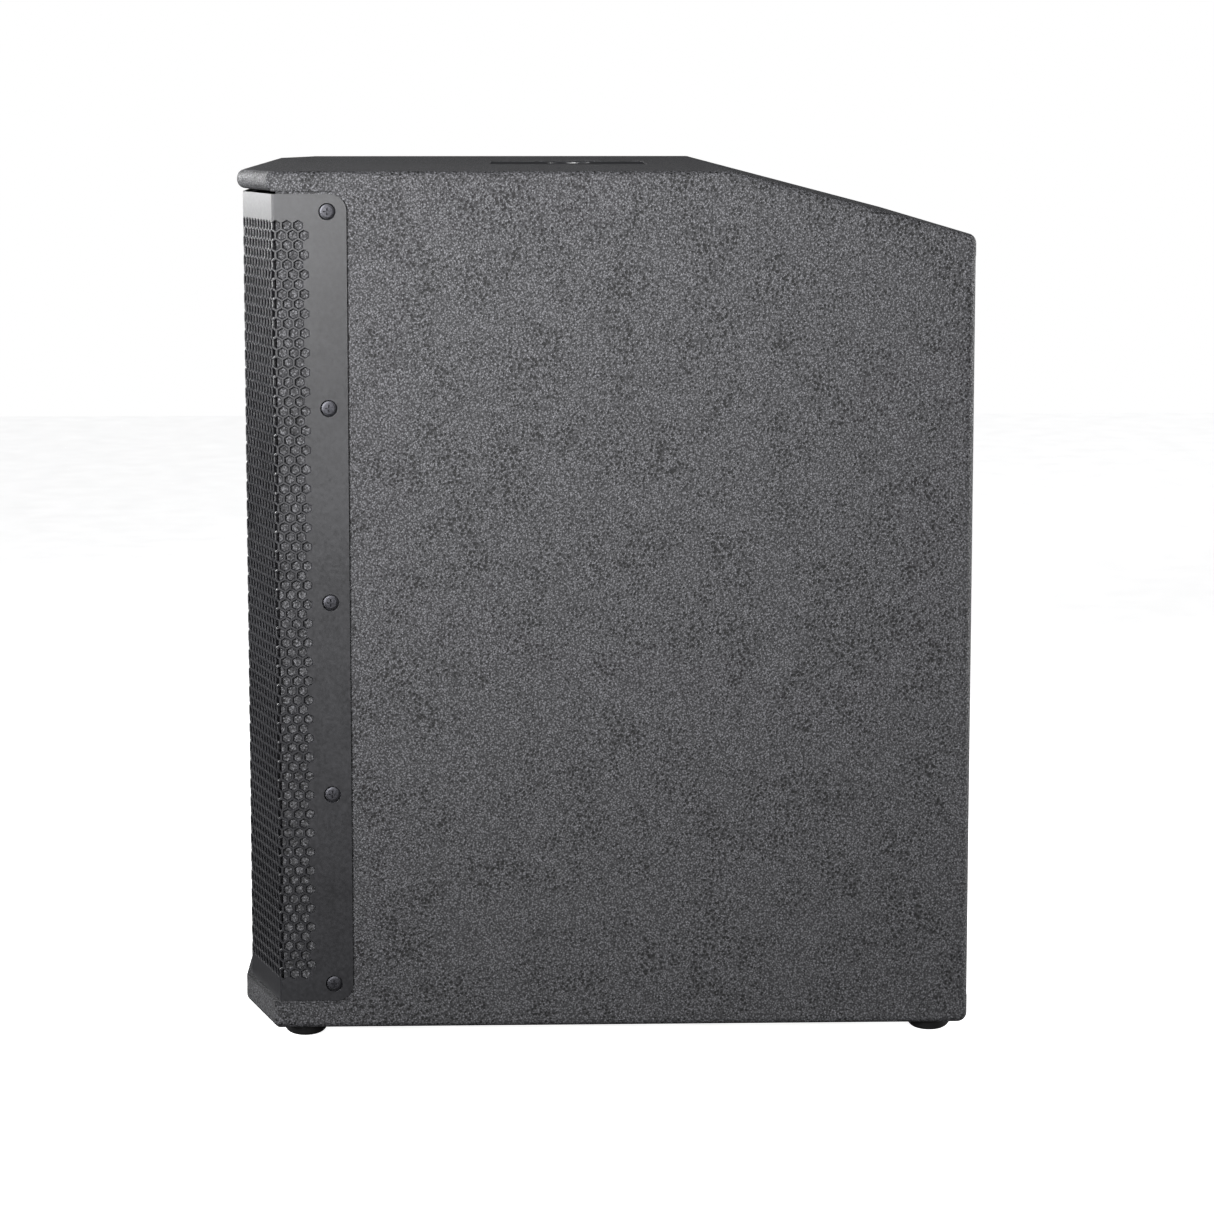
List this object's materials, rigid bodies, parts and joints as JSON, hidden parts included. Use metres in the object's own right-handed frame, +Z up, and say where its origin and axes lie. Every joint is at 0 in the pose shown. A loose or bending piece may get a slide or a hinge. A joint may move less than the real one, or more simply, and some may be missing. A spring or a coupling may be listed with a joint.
{
  "type": "pa speaker cabinet",
  "caption": "Powered bass cabinet with a textured black plywood body, a wrap-round perforated nose grille, a sloping rear top, rubber feet and a rear amplifier panel.",
  "frame": {"origin": "on the floor, under the middle of the cabinet's width and depth", "axes": "+Z up, -Y out of the grille at the front, +X to the right seen from the front"},
  "size_m": [0.575, 0.526, 0.627],
  "materials": {
    "textured_paint": "plywood under sprayed black structured paint, pebbled, low sheen",
    "birch_ply": "bare birch plywood, sanded",
    "grille_coat": "perforated steel sheet under smooth satin black powder coat",
    "black_screw": "black zinc plated steel screws",
    "zinc_steel": "bright zinc plated steel",
    "grille_foam": "black open-cell foam",
    "foot_rubber": "moulded black rubber",
    "damping_wool": "grey needled polyester wadding",
    "cast_frame": "die-cast aluminium, black powder coat",
    "gasket": "closed-cell sealing strip",
    "cone_paper": "ribbed pulp paper, dark grey",
    "surround_cloth": "treated cloth, black",
    "spider_cloth": "resin-treated cotton, amber",
    "coil_copper": "enamelled copper on a glass-fibre former",
    "motor_steel": "turned low-carbon steel, zinc plated",
    "ferrite": "sintered ferrite, dark grey",
    "terminal_plastic": "moulded terminal block",
    "port_plastic": "moulded black ABS",
    "pole_cup": "pressed steel, black powder coat",
    "amp_panel": "steel plate, fine black powder coat",
    "heat_sink": "extruded aluminium, black anodised",
    "galvanised": "galvanised sheet steel",
    "circuit_board": "glass-fibre circuit board, green solder mask",
    "capacitor_sleeve": "heat-shrunk sleeve",
    "transformer_tape": "wound steel core and copper under yellow polyester tape",
    "epoxy": "moulded epoxy",
    "socket_shell": "die-cast zinc, black",
    "plated_contacts": "plated brass contacts",
    "latch_steel": "nickel plated steel",
    "knob_plastic": "moulded knob, soft matt",
    "switch_plastic": "moulded nylon, glossy",
    "led_lens": "tinted epoxy lens",
    "lead_jacket": "flexible insulated copper lead"
  },
  "bodies": {
    "cabinet": {"top_panel": "textured_paint", "bottom_panel": "textured_paint", "right_side_panel": "textured_paint", "left_side_panel": "textured_paint", "rear_slope_panel": "textured_paint", "rear_panel": "textured_paint", "baffle": "textured_paint", "baffle_cleats": "birch_ply", "cross_brace": "birch_ply", "damping_pads": "damping_wool", "feet": "foot_rubber", "foot_screws": "zinc_steel", "grille": "grille_coat", "grille_foam": "grille_foam", "grille_screws": "black_screw", "woofer_frame": "cast_frame", "woofer_gasket": "gasket", "woofer_surround": "surround_cloth", "woofer_spider": "spider_cloth", "woofer_top_plate": "motor_steel", "woofer_magnet": "ferrite", "woofer_back_plate": "motor_steel", "woofer_terminals": "terminal_plastic", "woofer_bolts": "black_screw", "woofer_tee_nuts": "zinc_steel", "right_port_tube": "port_plastic", "left_port_tube": "port_plastic", "speaker_leads": "lead_jacket", "pole_socket": "pole_cup", "pole_socket_screws": "black_screw", "amp_mounting_frame": "birch_ply", "amp_plate": "amp_panel", "amp_screws": "black_screw", "amp_heat_sink": "heat_sink", "amp_housing": "galvanised", "circuit_boards": "circuit_board", "board_standoffs": "zinc_steel", "filter_capacitors": "capacitor_sleeve", "power_transformer": "transformer_tape", "output_transistors": "epoxy", "input_sockets": "socket_shell", "link_sockets": "socket_shell", "contact_pins": "plated_contacts", "socket_screws": "black_screw", "potentiometers": "zinc_steel", "potentiometer_nuts": "zinc_steel", "phase_switch": "switch_plastic", "status_leds": "led_lens", "rocker_housing": "switch_plastic", "inlet_housing": "switch_plastic"},
    "cone": {"woofer_cone": "cone_paper", "woofer_dust_cap": "cone_paper", "woofer_voice_coil": "coil_copper"},
    "level_control": {"level_knob": "knob_plastic"},
    "crossover_control": {"crossover_knob": "knob_plastic"},
    "phase_control": {"phase_button": "switch_plastic"},
    "latch_a": {"latch_button_a": "latch_steel"},
    "latch_b": {"latch_button_b": "latch_steel"},
    "mains_rocker": {"power_rocker": "switch_plastic"},
    "fuse_holder": {"fuse_drawer": "switch_plastic"}
  },
  "joints": [
    {"name": "cone_travel", "type": "slide", "parent": "cabinet", "child": "cone", "axis": [0, -1, 0], "range_m": [-0.008, 0.008], "stiffness_N_per_m": 8000, "deforming": ["woofer_surround", "woofer_spider"]},
    {"name": "level_turn", "type": "hinge", "parent": "cabinet", "child": "level_control", "pos_m": [-0.075, 0.251, 0.446], "axis": [0, 1, 0], "range_deg": [-135, 135]},
    {"name": "crossover_turn", "type": "hinge", "parent": "cabinet", "child": "crossover_control", "pos_m": [-0.115, 0.251, 0.446], "axis": [0, 1, 0], "range_deg": [-135, 135]},
    {"name": "phase_press", "type": "slide", "parent": "cabinet", "child": "phase_control", "axis": [0, -1, 0], "range_m": [0, 0.0025], "stiffness_N_per_m": 500, "springref_m": -0.002},
    {"name": "latch_a_press", "type": "slide", "parent": "cabinet", "child": "latch_a", "axis": [0, -1, 0], "range_m": [0, 0.0015], "stiffness_N_per_m": 800, "springref_m": -0.0015},
    {"name": "latch_b_press", "type": "slide", "parent": "cabinet", "child": "latch_b", "axis": [0, -1, 0], "range_m": [0, 0.0015], "stiffness_N_per_m": 800, "springref_m": -0.0015},
    {"name": "rocker_tip", "type": "hinge", "parent": "cabinet", "child": "mains_rocker", "pos_m": [0.04, 0.245, 0.132], "axis": [1, 0, 0], "range_deg": [0, 18]},
    {"name": "fuse_pull", "type": "slide", "parent": "cabinet", "child": "fuse_holder", "axis": [0, 1, 0], "range_m": [0, 0.018]}
  ]
}
